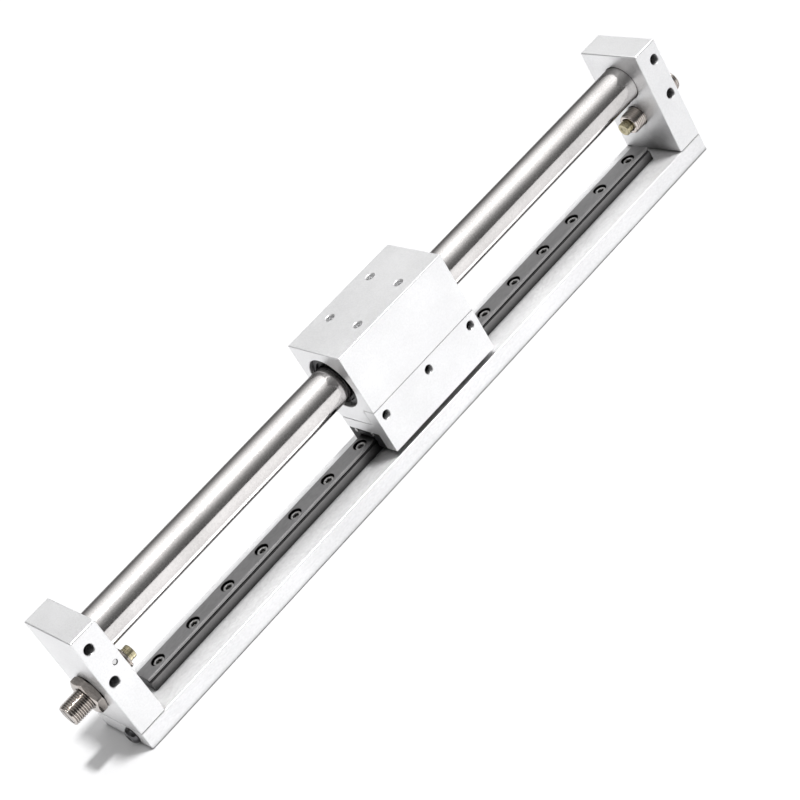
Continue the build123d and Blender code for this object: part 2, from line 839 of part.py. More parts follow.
save(make_bumpers(), "piston_bumpers")
for name, center in guide_blocks:
    save(make_guide_block(center), name)
for end, side in ends:
    save(make_end_plate(side), "end_plate_" + end)
    save(make_channel_plug(side), "channel_plug_" + end)
    save(make_absorber_body(side), "absorber_body_" + end)
    save(make_end_plug(side), "absorber_end_plug_" + end)
    save(make_bush(side), "absorber_bush_" + end)
    save(make_plunger_cap(side), "plunger_cap_" + end)
    save(make_plunger_rod(side), "plunger_rod_" + end)
    save(make_return_spring(side), "return_spring_" + end)
    save(make_lock_nut(side), "lock_nut_" + end)
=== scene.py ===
import bmesh
import bpy
import json
import math
from mathutils import Matrix, Vector


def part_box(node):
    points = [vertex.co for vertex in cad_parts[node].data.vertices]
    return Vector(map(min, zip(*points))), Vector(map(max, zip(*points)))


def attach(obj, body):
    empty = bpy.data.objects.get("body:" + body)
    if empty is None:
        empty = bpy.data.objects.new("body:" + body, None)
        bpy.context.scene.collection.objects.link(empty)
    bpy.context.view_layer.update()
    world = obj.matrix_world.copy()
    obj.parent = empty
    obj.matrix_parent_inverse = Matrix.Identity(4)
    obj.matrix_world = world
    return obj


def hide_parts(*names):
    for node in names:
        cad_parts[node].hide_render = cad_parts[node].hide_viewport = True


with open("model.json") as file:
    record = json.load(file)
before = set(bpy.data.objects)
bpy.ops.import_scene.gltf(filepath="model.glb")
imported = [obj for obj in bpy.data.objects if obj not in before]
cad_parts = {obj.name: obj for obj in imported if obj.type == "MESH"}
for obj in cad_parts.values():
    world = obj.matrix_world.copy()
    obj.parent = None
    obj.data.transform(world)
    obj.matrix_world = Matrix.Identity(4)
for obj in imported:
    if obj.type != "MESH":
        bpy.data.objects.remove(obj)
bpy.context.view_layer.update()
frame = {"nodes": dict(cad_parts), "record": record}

MM = 0.001

# The photograph's camera: its place in metres, the way it looks and its right
CAMERA_PLACE = Vector((-0.33892, -0.68296, 0.49654))
CAMERA_LOOK = Vector((0.371497, 0.759083, -0.534587))
CAMERA_RIGHT = Vector((0.635672, -0.627627, -0.449451))
CAMERA_LENS = 99.768
CAMERA_SENSOR = 36.0
CAMERA_CLIP_START = 0.02
CAMERA_CLIP_END = 20.0

# The brightest part of the light: the way to it, its strength and its width
KEY_FROM = (0.174, -0.159, 1.0)
KEY_ENERGY = 3.0
KEY_WIDTH = math.radians(7)

# The studio's brightness, by degrees from the front horizon over the top to the back
SKY = ((0, 0.1), (27, 0.2), (43, 0.43), (59, 0.95), (75, 1.5), (91, 1.6), (107, 1.45),
       (123, 1.03), (139, 0.56), (155, 0.34), (171, 0.25))
SKY_TOP = 2.0
# Along X it is full near BOX_MIDDLE, and from BOX_END away from there BOX_REST is left
BOX_MIDDLE = 0.35
BOX_FULL = 0.3
BOX_END = 0.8
BOX_REST = 0.25

# The floor, with a glow of its own that changes from behind the part to its front and
# falls to a share of itself past the far end
FLOOR_COLOR = (0.62, 0.62, 0.625)
FLOOR_ROUGHNESS = 0.9
FLOOR_REACH = 4.0
FLOOR_DROP = 0.1 * MM
GLOW_BACK = 0.08
GLOW_BACK_Y = 30 * MM
GLOW_FRONT = 0.24
GLOW_FRONT_Y = -90 * MM
GLOW_FAR = 0.25
GLOW_FULL_X = 80 * MM
GLOW_FAR_X = 200 * MM
GLOW_FADE_START = -0.5 * MM
GLOW_FADE_END = 1.5 * MM

# Grain: how much coarser its broad part is, the detail of both parts, the sums of both
# between which the shade changes, the values between which the roughness does, bump height
BROAD_GRAIN = 40
FINE_DETAIL = 3.0
BROAD_DETAIL = 2.0
SHADE_RANGE = (0.7, 1.3)
ROUGHNESS_RANGE = (0.3, 0.7)
BUMP_HEIGHT = 0.05 * MM

# Edge rounding, and how many steps a full turn or an arc has
SMALL_EDGE = 0.12 * MM
BASE_EDGE = 0.4 * MM
PLATE_EDGE = 0.6 * MM
SLIDER_EDGE = 0.35 * MM
BRACKET_EDGE = 0.3 * MM
TUBE_STEPS = 256
BORE_STEPS = 192
THREAD_STEPS = 96
TURNED_STEPS = 72
HOLE_STEPS = 64
HEAD_STEPS = 48
ARC_STEPS = 6
# A milled face lies across an axis: the least share of its normal along that axis
MILLED = 0.9999
# How far a cutter reaches past the face that it goes through
CUT_REACH = 1.0 * MM

# Tube, and its socket in the end plates
TUBE_WALL = 0.6 * MM
TUBE_GAP = 0.08 * MM
SOCKET_DEPTH = 5 * MM

# Holes: bore radius, depth, mouth chamfer, and their threads as (groove depth, pitch)
SMALL_MOUTH = 0.15 * MM
MOUNT_SPACING_X = 280 * MM
MOUNT_SPACING_Y = 24 * MM
MOUNT_BORE = 1.65 * MM
MOUNT_DEPTH = 6 * MM
MOUNT_MOUTH = 0.45 * MM
MOUNT_THREAD = (0.3 * MM, 0.7 * MM)
PLATE_SCREW_BORE = 2.9 * MM
PLATE_SCREW_DEPTH = 3.15 * MM
PORT_INSET = 4.5 * MM
PORT_UPPER_Z = 52 * MM
PORT_LOWER_Z = 34 * MM
PORT_BORE = 2.25 * MM
PORT_DEPTH = 8 * MM
PORT_MOUTH = 0.28 * MM
PORT_THREAD = (0.2 * MM, 0.8 * MM)
ABSORBER_HOLE = 4.95 * MM
ABSORBER_MOUTH = 0.3 * MM
BALL_RADIUS = 1.25 * MM
BALL_HOLE_DEPTH = 3 * MM
TABLE_SPACING_X = 25 * MM
TABLE_SPACING_Y = 18 * MM
TABLE_BORE = 1.95 * MM
TABLE_DEPTH = 5.5 * MM
TABLE_MOUTH = 0.35 * MM
SIDE_PITCH = 26.5 * MM
SIDE_Z = 27.3 * MM
SIDE_BORE = 2.0 * MM
SIDE_DEPTH = 5.0 * MM
SLIDER_THREAD = (0.2 * MM, 0.7 * MM)
COUNTERBORE = 3.0 * MM
COUNTERBORE_DEPTH = 3.5 * MM

# Slider block and bracket
BRACKET_WALL = 6.5 * MM
REBATE_Z = 32 * MM
SEAM = 0.15 * MM
SLANT_TOP_Z = 34 * MM
SLANT_FOOT = 0.6 * MM
BLOCK_CORNER = 0.9 * MM
GUIDE_TOP_Z = 18.5 * MM
SLIDER_BORE = 12.4 * MM
SLIDER_BORE_CHAMFER = 0.25 * MM

# Guide rail: ball grooves with a relief slit in their middle, and a chamfer on top
RAIL_GROOVE = 0.6 * MM
RELIEF_ANGLE = math.radians(22)
RELIEF_DEPTH = 0.8 * MM
RAIL_CHAMFER = 0.4 * MM

# Cap screws: how deep their seats lie, rim, socket, shank and the sizes of their heads
CAP_SEAT = 3.0 * MM
CAP_STEP = 0.01 * MM
CAP_RIM = 0.3 * MM
CAP_RIM_SHARE = 0.3
CAP_SOCKET = 2.5 * MM
CAP_SOCKET_SHARE = 0.55
CAP_SOCKET_FLARE = 0.25 * MM
CAP_SOCKET_CHAMFER = 0.12 * MM
CAP_SOCKET_POINT = 0.4 * MM
CAP_SOCKET_POINT_SHARE = 0.25
CAP_SHANK = 1.5 * MM
CAP_POINT = 0.3 * MM
CAP_POINT_SHARE = 0.6
RAIL_HEAD_RADIUS = 2.5 * MM
RAIL_HEAD_HEIGHT = 2.75 * MM
PLATE_HEAD_RADIUS = 2.75 * MM
PLATE_HEAD_HEIGHT = 3.0 * MM

# Button-head screws: outer face of the end plates, shank, rim, flat top and socket
PLATE_OUTER = 177.5 * MM
BUTTON_SHANK = 2.0 * MM
BUTTON_POINT = 0.4 * MM
BUTTON_STEP = 0.02 * MM
BUTTON_RIM = 0.12 * MM
BUTTON_RIM_INSET = 0.1 * MM
BUTTON_FLAT = 1.9 * MM
BUTTON_FLAT_SHARE = 0.96
BUTTON_SOCKET = 2.5 * MM
BUTTON_SOCKET_FLARE = 0.2 * MM
BUTTON_SOCKET_CHAMFER = 0.1 * MM
BUTTON_SOCKET_DEPTH = 1.2 * MM
BUTTON_DRILL_DEPTH = 1.5 * MM
BUTTON_DRILL_END = 0.5 * MM
BUTTON_STEPS = 9

# Shock absorbers: body with its M10x1 thread, lock nut, end plug and plunger cap
ABSORBER_BORE = 3.3 * MM
THREAD_PITCH = 1.0 * MM
THREAD_DEPTH = 0.5 * MM
THREAD_CHAMFER = 0.8 * MM
THREAD_SLOPE = 2.8
THREAD_ROOT = 0.2
ROWS_PER_PITCH = 10
LOCK_NUT_TURN = math.radians(25)
NUT_CHAMFER_SLOPE = math.tan(math.radians(60))
NUT_CIRCLE_SHARE = 0.97
NUT_FLARE = 0.3 * MM
NUT_FLARE_DEPTH = 0.4 * MM
PLUG_CHAMFER = 0.25 * MM
SLOT_WIDTH = 1.0 * MM
SLOT_DEPTH = 1.2 * MM
SLOT_TURN = math.radians(-14)
PLUNGER_EDGE = 0.1 * MM
PLUNGER_GROOVE = 0.25 * MM
PLUNGER_GROOVE_PLACES = (0.42, 0.44, 0.52, 0.54)
PLUNGER_ROUND = 0.5 * MM
PLUNGER_STEPS = 5
PLUNGER_DIMPLE = 0.2 * MM
PLUNGER_DIMPLE_SHARE = 0.45
PLUNGER_DIMPLE_END = 0.38

# Ball plug: how far its round edge and its flatter dome lie behind the face
BALL_EDGE = 0.25 * MM
BALL_RISE = 0.1 * MM
BALL_STEPS = 6

# Points of the CAD's meshes that are nearer than this are one, and faces that meet at
# less than this angle are one
SOLID_WELD = 0.001 * MM
MESH_WELD = 0.002 * MM
FLAT_ANGLE = math.radians(1)

X_UP = (1, 0, 0)
Y_FRONT = (0, -1, 0)
Z_UP = (0, 0, 1)
Z_DOWN = (0, 0, -1)


def node_tools(tree):
    """Functions that add a node to a tree and link two of its sockets."""

    def add(kind, **values):
        node = tree.nodes.new(kind)
        for key, value in values.items():
            setattr(node, key, value)
        return node

    return add, tree.links.new


def computed(tools, operation, *values):
    """The result of a math node, from sockets or plain numbers."""
    add, link = tools
    node = add("ShaderNodeMath", operation=operation)
    for socket, value in zip(node.inputs, values):
        if isinstance(value, float):
            socket.default_value = value
        else:
            link(value, socket)
    return node.outputs["Value"]


def ranged(tools, source, start, end, first=0.0, last=1.0, kind="LINEAR"):
    """A value that goes from first to last while the source goes from start to end."""
    add, link = tools
    node = add("ShaderNodeMapRange", interpolation_type=kind)
    node.inputs["From Min"].default_value = start
    node.inputs["From Max"].default_value = end
    node.inputs["To Min"].default_value = first
    node.inputs["To Max"].default_value = last
    link(source, node.inputs["Value"])
    return node.outputs["Result"]


def separated(tools, kind, output):
    """The X, Y and Z sockets of a vector that a node gives."""
    add, link = tools
    parts = add("ShaderNodeSeparateXYZ")
    link(add(kind).outputs[output], parts.inputs["Vector"])
    return parts.outputs


def scaled(tools, vector, factor):
    """A colour or vector times a factor."""
    add, link = tools
    node = add("ShaderNodeVectorMath", operation="SCALE")
    link(vector, node.inputs[0])
    link(factor, node.inputs["Scale"])
    return node.outputs["Vector"]


def node_material(name):
    """A new material, its Principled shader and the tools for its nodes."""
    material = bpy.data.materials.new(name)
    material.use_nodes = True
    tree = material.node_tree
    return material, tree.nodes["Principled BSDF"], node_tools(tree)


def grain(name, color, spread, scale, stretch, roughness, roughness_spread, bump,
          metallic, painted_crevice_shade=None, shaded_side_color=None, rim=1.0):
    """A metal or plastic with fine grain: scale is in grains per metre.

    The four numbers of the crevice shade paint shade into the colour in holes, gaps and
    corners: how many mm it looks, the openness where it is darkest, the openness from which
    it is plain, and the light kept where it is darkest. Faces that look along Y take the
    darker side colour, painted as shade. rim is how much a metal keeps of its mirror image
    at glancing angles.
    """
    material, shader, tools = node_material(name)
    add, link = tools
    mapping = add("ShaderNodeMapping")
    mapping.inputs["Scale"].default_value = stretch
    link(add("ShaderNodeTexCoord").outputs["Object"], mapping.inputs["Vector"])

    def noise(density, detail):
        node = add("ShaderNodeTexNoise")
        node.inputs["Scale"].default_value = density
        node.inputs["Detail"].default_value = detail
        link(mapping.outputs["Vector"], node.inputs["Vector"])
        return node.outputs["Fac"]

    def two_colors(first, second, factor):
        node = add("ShaderNodeMix", data_type="RGBA")
        for socket, value in (("A", first), ("B", second)):
            if isinstance(value, tuple):
                node.inputs[socket].default_value = value
            else:
                link(value, node.inputs[socket])
        link(factor, node.inputs["Factor"])
        return node.outputs["Result"]

    fine = noise(scale, FINE_DETAIL)
    broad = noise(scale / BROAD_GRAIN, BROAD_DETAIL)
    dark = tuple(max(0.0, c * (1 - spread)) for c in color)
    light = tuple(min(1.0, c * (1 + spread)) for c in color)
    shade = ranged(tools, computed(tools, "ADD", fine, broad), *SHADE_RANGE)
    shown = two_colors((*dark, 1), (*light, 1), shade)
    # Painted shade: faces that look along Y take the darker side colour
    if shaded_side_color:
        normal = separated(tools, "ShaderNodeNewGeometry", "Normal")
        side_shade_mask = computed(tools, "ABSOLUTE", normal["Y"])
        shown = two_colors(shown, (*shaded_side_color, 1), side_shade_mask)
    # Painted shade: an ambient occlusion node darkens the colour in holes, gaps and corners
    if painted_crevice_shade:
        reach, darkest, plain, kept = painted_crevice_shade
        shelter = add("ShaderNodeAmbientOcclusion", samples=8)
        shelter.inputs["Distance"].default_value = reach * MM
        lit = ranged(tools, shelter.outputs["AO"], darkest, plain, kept, 1.0, "SMOOTHSTEP")
        shown = scaled(tools, shown, lit)
    link(shown, shader.inputs["Base Color"])
    rough = ranged(tools, fine, *ROUGHNESS_RANGE, roughness - roughness_spread,
                   roughness + roughness_spread)
    link(rough, shader.inputs["Roughness"])
    bumps = add("ShaderNodeBump")
    bumps.inputs["Strength"].default_value = bump
    bumps.inputs["Distance"].default_value = BUMP_HEIGHT
    link(fine, bumps.inputs["Height"])
    link(bumps.outputs["Normal"], shader.inputs["Normal"])
    shader.inputs["Metallic"].default_value = metallic
    shader.inputs["Specular Tint"].default_value = (rim, rim, rim, 1)
    return material


EVEN = (1.0, 1.0, 1.0)


def blasted(name, painted_crevice_shade):
    """Clear anodised aluminium with a blasted face, and shade painted into its holes and gaps.
    """
    return grain(name, (0.87, 0.87, 0.875), 0.06, 1700, EVEN, 0.42, 0.05, 0.25, 0.86, painted_crevice_shade)


# The four numbers after the metallic value paint shade into holes, gaps and corners; the rail's
# last colour is shade painted on its sides
materials = {
    "anodised_aluminium": blasted("blasted aluminium", (4, 0.3, 0.8, 0.15)),
    "base_aluminium": grain("extruded aluminium", (0.92, 0.92, 0.925), 0.08, 1700,
                            (0.5, 1.0, 1.0), 0.48, 0.06, 0.3, 0.74, (3.0, 0.4, 0.9, 0.42)),
    "stainless": grain("drawn stainless steel", (0.665, 0.645, 0.635), 0.14, 1700, EVEN,
                       0.13, 0.04, 0.05, 1.0, rim=0.25),
    "rail_steel": grain("ground rail steel", (0.38, 0.375, 0.38), 0.16, 1700,
                        (0.3, 1.0, 1.0), 0.34, 0.05, 0.25, 1.0, (8, 0.5, 0.98, 0.12),
                        (0.26, 0.255, 0.255)),
    "plated_steel": grain("nickel plated steel", (0.64, 0.59, 0.55), 0.06, 2500, EVEN,
                          0.15, 0.04, 0.08, 1.0, (0.6, 0.45, 0.9, 0.05), rim=0.7),
    "screw_steel": grain("black oxide steel", (0.13, 0.13, 0.135), 0.25, 3500, EVEN,
                         0.2, 0.06, 0.2, 0.9, (4, 0.1, 0.6, 0.5)),
    "small_screw_steel": grain("zinc plated steel", (0.66, 0.66, 0.66), 0.06, 3000, EVEN,
                               0.25, 0.05, 0.1, 1.0),
    "black_plastic": grain("moulded black plastic", (0.03, 0.03, 0.034), 0.2, 2500, EVEN,
                           0.42, 0.08, 0.3, 0.0),
    "bearing_plastic": grain("bearing plastic", (0.42, 0.37, 0.28), 0.08, 2500, EVEN,
                             0.45, 0.06, 0.2, 0.0, (4, 0.1, 0.6, 0.2)),
    "black_rubber": grain("black rubber", (0.02, 0.02, 0.022), 0.2, 2500, EVEN,
                          0.5, 0.08, 0.3, 0.0),
    "magnet": grain("plated magnet", (0.6, 0.6, 0.62), 0.05, 2500, EVEN, 0.2, 0.05, 0.1, 1.0),
    "yoke_steel": grain("yoke steel", (0.36, 0.36, 0.37), 0.08, 2500, EVEN,
                        0.4, 0.08, 0.2, 1.0),
    "brass": grain("turned brass", (0.62, 0.46, 0.2), 0.06, 2500, EVEN, 0.28, 0.05, 0.1, 1.0),
    "gold_cap": grain("gold chromate steel", (0.5, 0.45, 0.3), 0.1, 2500, EVEN,
                      0.3, 0.06, 0.15, 1.0, (4, 0.1, 0.6, 0.5)),
}
# Finishes that differ from their slot's usual one, and copies of the blasted aluminium that
# differ only in how far and how deeply shade is painted into their holes and gaps
phosphated = grain("phosphated screw heads", (0.5, 0.495, 0.49), 0.12, 3500, EVEN,
                   0.28, 0.06, 0.3, 1.0, (4, 0.1, 0.6, 0.2))
blackened = grain("blackened spring steel", (0.05, 0.05, 0.052), 0.2, 3000, EVEN,
                  0.4, 0.08, 0.2, 0.9)
block_painted_shade = blasted("blasted aluminium, block", (2.0, 0.15, 0.75, 0.2))
bracket_painted_shade = blasted("blasted aluminium, bracket", (5, 0.05, 0.5, 0.2))
plate_painted_shade = blasted("blasted aluminium, plates", (12, 0.3, 0.72, 0.3))

node_slots = {entry["node"]: entry["material_slot"] for entry in frame["record"]["subparts"]}
node_bodies = {node: body for body, nodes in frame["record"]["behaviour"]["bodies"].items()
               for node in nodes}


def finish_piece(piece, node, smooth_angle=35, milled=False, finish=None):
    """Ride, finish and slot of a piece that stands for a CAD node."""
    mesh = piece.data
    mesh.materials.clear()
    mesh.materials.append(finish or materials[node_slots[node]])
    mesh.shade_smooth()
    mesh.set_sharp_from_angle(angle=math.radians(smooth_angle))
    if milled:
        for face in mesh.polygons:
            if max(abs(value) for value in face.normal) > MILLED:
                face.use_smooth = False
    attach(piece, node_bodies[node])
    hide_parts(node)


def mesh_object(name, shape):
    """An object with a shape's mesh, its faces turned outwards."""
    bmesh.ops.recalc_face_normals(shape, faces=shape.faces)
    mesh = bpy.data.meshes.new(name)
    shape.to_mesh(mesh)
    shape.free()
    piece = bpy.data.objects.new(name, mesh)
    bpy.context.scene.collection.objects.link(piece)
    return piece


def applied(piece):
    """The piece with its modifiers made part of its mesh."""
    graph = bpy.context.evaluated_depsgraph_get()
    mesh = bpy.data.meshes.new_from_object(piece.evaluated_get(graph))
    piece.modifiers.clear()
    piece.data = mesh
    return piece


def hexagon(flats, turn):
    """Radius of a hexagon at an angle, corners at multiples of 60 degrees."""
    part = (turn + math.pi / 6) % (math.pi / 3) - math.pi / 6
    return flats / 2 / math.cos(math.pi / 6 - abs(part))


def turned(shape, rings, place, axis, steps, closed=False):
    """Adds rings of (height, radius) along an axis; either may be a function of the turn."""
    axis = Vector(axis)
    side = Vector((0, 0, 1)) if abs(axis.z) < 0.5 else Vector((1, 0, 0))
    over = axis.cross(side)
    place = Vector(place)
    grid = []
    for height, radius in rings:
        ring = []
        for i in range(steps):
            turn = 2 * math.pi * i / steps
            r = radius(turn) if callable(radius) else radius
            h = height(turn) if callable(height) else height
            ring.append(shape.verts.new(place + axis * h + side * r * math.cos(turn)
                                        + over * r * math.sin(turn)))
        grid.append(ring)
    pairs = list(zip(grid, grid[1:]))
    if closed:
        pairs.append((grid[-1], grid[0]))
    else:
        shape.faces.new(grid[0])
        shape.faces.new(grid[-1])
    for one, two in pairs:
        for i in range(steps):
            j = (i + 1) % steps
            shape.faces.new((one[i], one[j], two[j], two[i]))


def prism(outline, x0, x1, name):
    """A (y, z) outline carried along X."""
    shape = bmesh.new()
    one = [shape.verts.new((x0, y, z)) for y, z in outline]
    two = [shape.verts.new((x1, y, z)) for y, z in outline]
    shape.faces.new(one)
    shape.faces.new(two)
    for i in range(len(outline)):
        j = (i + 1) % len(outline)
        shape.faces.new((one[i], one[j], two[j], two[i]))
    return mesh_object(name, shape)


def rounded(piece, edge, segments=3, angle=25):
    """The piece with edges sharper than an angle rounded."""
    bevel = piece.modifiers.new("edges", "BEVEL")
    bevel.width = edge
    bevel.segments = segments
    bevel.limit_method = "ANGLE"
    bevel.angle_limit = math.radians(angle)
    return applied(piece)


def milled_bar(node, edge):
    """A bar that fills a node's box, with rounded edges."""
    low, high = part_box(node)
    outline = [(low[1], low[2]), (high[1], low[2]), (high[1], high[2]), (low[1], high[2])]
    return rounded(prism(outline, low[0], high[0], node + "_milled"), edge)


def hole(shape, place, axis, radius, depth, mouth=0.0, steps=HOLE_STEPS, thread=None):
    """A cutter: it starts outside the face at place and goes in against the axis."""
    rings = [(CUT_REACH, radius + mouth), (0.0, radius + mouth), (-mouth, radius)]
    if thread:
        groove, pitch = thread
        level = -mouth
        while level - pitch > -depth:
            rings.append((level - 0.5 * pitch, radius + groove))
            rings.append((level - pitch, radius))
            level -= pitch
    rings.append((-depth, radius))
    turned(shape, rings, place, axis, steps)


def cut(piece, cutters):
    """The piece without the cutters' space."""
    tool = mesh_object(piece.name + "_cutters", cutters)
    difference = piece.modifiers.new("holes", "BOOLEAN")
    difference.operation = "DIFFERENCE"
    difference.solver = "EXACT"
    difference.object = tool
    applied(piece)
    bpy.data.objects.remove(tool)
    return piece


def middle(node):
    low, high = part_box(node)
    return (low + high) / 2


def box_radius(node):
    """Radius of a round node that lies along X."""
    low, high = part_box(node)
    return (high[2] - low[2]) / 2


def four(spacing_x, spacing_y, center_x=0.0):
    """The (x, y) places of four holes on a rectangle."""
    return [(center_x + i * spacing_x / 2, j * spacing_y / 2) for i in (-1, 1) for j in (-1, 1)]


def screw_places(node):
    """Middles of the separate solids of a node, as (x, y) pairs."""
    shape = bmesh.new()
    shape.from_mesh(frame["nodes"][node].data)
    bmesh.ops.remove_doubles(shape, verts=shape.verts, dist=SOLID_WELD)
    places = []
    left = set(shape.verts)
    while left:
        stack = [left.pop()]
        group = list(stack)
        while stack:
            for edge in stack.pop().link_edges:
                for vert in edge.verts:
                    if vert in left:
                        left.remove(vert)
                        stack.append(vert)
                        group.append(vert)
        low = [min(vert.co[k] for vert in group) for k in (0, 1)]
        high = [max(vert.co[k] for vert in group) for k in (0, 1)]
        places.append(((low[0] + high[0]) / 2, (low[1] + high[1]) / 2))
    shape.free()
    return sorted(places)


def make_tube():
    low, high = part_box("cylinder_tube")
    radius = box_radius("cylinder_tube")
    inner = radius - TUBE_WALL
    half = (high[0] - low[0]) / 2
    shape = bmesh.new()
    turned(shape, [(-half, radius), (half, radius), (half, inner), (-half, inner)],
           middle("cylinder_tube"), X_UP, TUBE_STEPS, closed=True)
    finish_piece(mesh_object("cylinder_tube_drawn", shape), "cylinder_tube")


# Base with the holes in its underside
def make_base():
    cutters = bmesh.new()
    for x, y in four(MOUNT_SPACING_X, MOUNT_SPACING_Y):
        hole(cutters, (x, y, 0), Z_DOWN, MOUNT_BORE, MOUNT_DEPTH, MOUNT_MOUTH,
             thread=MOUNT_THREAD)
    for x, y in screw_places("end_plate_screws"):
        hole(cutters, (x, y, 0), Z_DOWN, PLATE_SCREW_BORE, PLATE_SCREW_DEPTH, SMALL_MOUTH)
    piece = cut(milled_bar("base_plate", BASE_EDGE), cutters)
    finish_piece(piece, "base_plate", milled=True)


# End plates with ports, absorber hole and tube socket
def make_end_plate(end, side):
    node = "end_plate_" + end
    low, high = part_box(node)
    outer = high[0] if side > 0 else low[0]
    inner = low[0] if side > 0 else high[0]
    inwards = (-side, 0, 0)
    cutters = bmesh.new()
    for z in (PORT_UPPER_Z, PORT_LOWER_Z):
        hole(cutters, (outer - side * PORT_INSET, low[1], z), Y_FRONT, PORT_BORE, PORT_DEPTH,
             PORT_MOUTH, thread=PORT_THREAD)
    hole(cutters, (inner, 0, middle("cylinder_tube").z), inwards,
         box_radius("cylinder_tube") + TUBE_GAP, SOCKET_DEPTH, SMALL_MOUTH, BORE_STEPS)
    hole(cutters, (inner, 0, middle("absorber_body_" + end).z), inwards, ABSORBER_HOLE,
         high[0] - low[0] + CUT_REACH, ABSORBER_MOUTH, THREAD_STEPS)
    if side < 0:
        ball = middle("port_ball_plug")
        hole(cutters, (ball.x, low[1], ball.z), Y_FRONT, BALL_RADIUS, BALL_HOLE_DEPTH)
    piece = cut(milled_bar(node, PLATE_EDGE), cutters)
    finish_piece(piece, node, milled=True, finish=plate_painted_shade)


# Slider: block and bracket from their own sections
def make_slider():
    low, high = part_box("slider_block")
    bracket_low, bracket_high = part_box("slider_bracket")
    center_x = (low[0] + high[0]) / 2
    wall = low[1] + BRACKET_WALL
    shelf = bracket_high[1]
    outline = [(low[1], high[2]), (high[1], high[2]), (high[1], SLANT_TOP_Z),
               (shelf + SLANT_FOOT, low[2] + BLOCK_CORNER), (shelf - BLOCK_CORNER, low[2]),
               (wall, low[2]), (wall, REBATE_Z), (low[1], REBATE_Z)]
    block = rounded(prism(outline, low[0], high[0], "slider_block_milled"), SLIDER_EDGE)
    length = high[0] - low[0]
    flare = SLIDER_BORE + SLIDER_BORE_CHAMFER + CUT_REACH
    rings = [(-CUT_REACH, flare), (SLIDER_BORE_CHAMFER, SLIDER_BORE),
             (length - SLIDER_BORE_CHAMFER, SLIDER_BORE), (length + CUT_REACH, flare)]
    cutters = bmesh.new()
    turned(cutters, rings, (low[0], 0, middle("cylinder_tube").z), X_UP, BORE_STEPS)
    for x, y in four(TABLE_SPACING_X, TABLE_SPACING_Y, center_x):
        hole(cutters, (x, y, high[2]), Z_UP, TABLE_BORE, TABLE_DEPTH, TABLE_MOUTH,
             thread=SLIDER_THREAD)
    finish_piece(cut(block, cutters), "slider_block", milled=True, finish=block_painted_shade)

    outline = [(low[1], bracket_low[2]), (wall, bracket_low[2]), (wall, GUIDE_TOP_Z),
               (shelf, GUIDE_TOP_Z), (shelf, low[2] - SEAM), (wall, low[2] - SEAM),
               (wall, REBATE_Z), (low[1], REBATE_Z)]
    bracket = rounded(prism(outline, low[0], high[0], "slider_bracket_milled"), BRACKET_EDGE)
    cutters = bmesh.new()
    for i in (-1, 0, 1):
        hole(cutters, (center_x + i * SIDE_PITCH, low[1], SIDE_Z), Y_FRONT, SIDE_BORE,
             SIDE_DEPTH, SMALL_MOUTH, thread=SLIDER_THREAD)
    finish_piece(cut(bracket, cutters), "slider_bracket", milled=True, finish=bracket_painted_shade)


# Rail: section with ball grooves, counterbored holes
def make_rail():
    low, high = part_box("guide_rail")
    half = (high[1] - low[1]) / 2
    groove_z = middle("guide_balls").z
    slit = half - RAIL_GROOVE * math.cos(RELIEF_ANGLE) - RELIEF_DEPTH
    slit_half = RAIL_GROOVE * math.sin(RELIEF_ANGLE)
    arc = math.pi / 2 - RELIEF_ANGLE

    def on_groove(turn):
        return half - RAIL_GROOVE * math.cos(turn), groove_z + RAIL_GROOVE * math.sin(turn)

    right = [(half, low[2])]
    right += [on_groove(-math.pi / 2 + arc * i / ARC_STEPS) for i in range(ARC_STEPS + 1)]
    right += [(slit, groove_z - slit_half), (slit, groove_z + slit_half)]
    right += [on_groove(RELIEF_ANGLE + arc * i / ARC_STEPS) for i in range(ARC_STEPS + 1)]
    right += [(half, high[2] - RAIL_CHAMFER), (half - RAIL_CHAMFER, high[2])]
    outline = right + [(-y, z) for y, z in reversed(right)]
    piece = prism(outline, low[0], high[0], "guide_rail_ground")
    cutters = bmesh.new()
    for x, y in screw_places("rail_screws"):
        hole(cutters, (x, y, high[2]), Z_UP, COUNTERBORE, COUNTERBORE_DEPTH, SMALL_MOUTH,
             TURNED_STEPS)
    finish_piece(cut(piece, cutters), "guide_rail", milled=True)


def socket_head(shape, place, axis, radius, height, length):
    """A cap screw: head with a rounded rim and a hexagon socket, and its shank."""
    bottom = height - height * CAP_SOCKET_SHARE
    curve = CAP_RIM_SHARE * CAP_RIM
    rings = [(-length, CAP_POINT_SHARE * CAP_SHANK), (-length + CAP_POINT, CAP_SHANK),
             (-CAP_STEP, CAP_SHANK), (0.0, radius), (height - CAP_RIM, radius),
             (height - curve, radius - curve), (height, radius - CAP_RIM),
             (height, lambda turn: hexagon(CAP_SOCKET + CAP_SOCKET_FLARE, turn)),
             (height - CAP_SOCKET_CHAMFER, lambda turn: hexagon(CAP_SOCKET, turn)),
             (bottom, lambda turn: hexagon(CAP_SOCKET, turn)),
             (bottom - CAP_SOCKET_POINT, CAP_SOCKET_POINT_SHARE * CAP_SOCKET)]
    turned(shape, rings, place, axis, HEAD_STEPS)


def make_cap_screws(node, upright, radius, height, finish=None):
    """The cap screws of a node, their heads up or down."""
    low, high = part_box(node)
    seat = high[2] - CAP_SEAT if upright else low[2] + CAP_SEAT
    length = seat - low[2] if upright else high[2] - seat
    axis = Z_UP if upright else Z_DOWN
    shape = bmesh.new()
    for x, y in screw_places(node):
        socket_head(shape, (x, y, seat), axis, radius, height, length)
    finish_piece(mesh_object(node + "_socket", shape), node, smooth_angle=50, finish=finish)


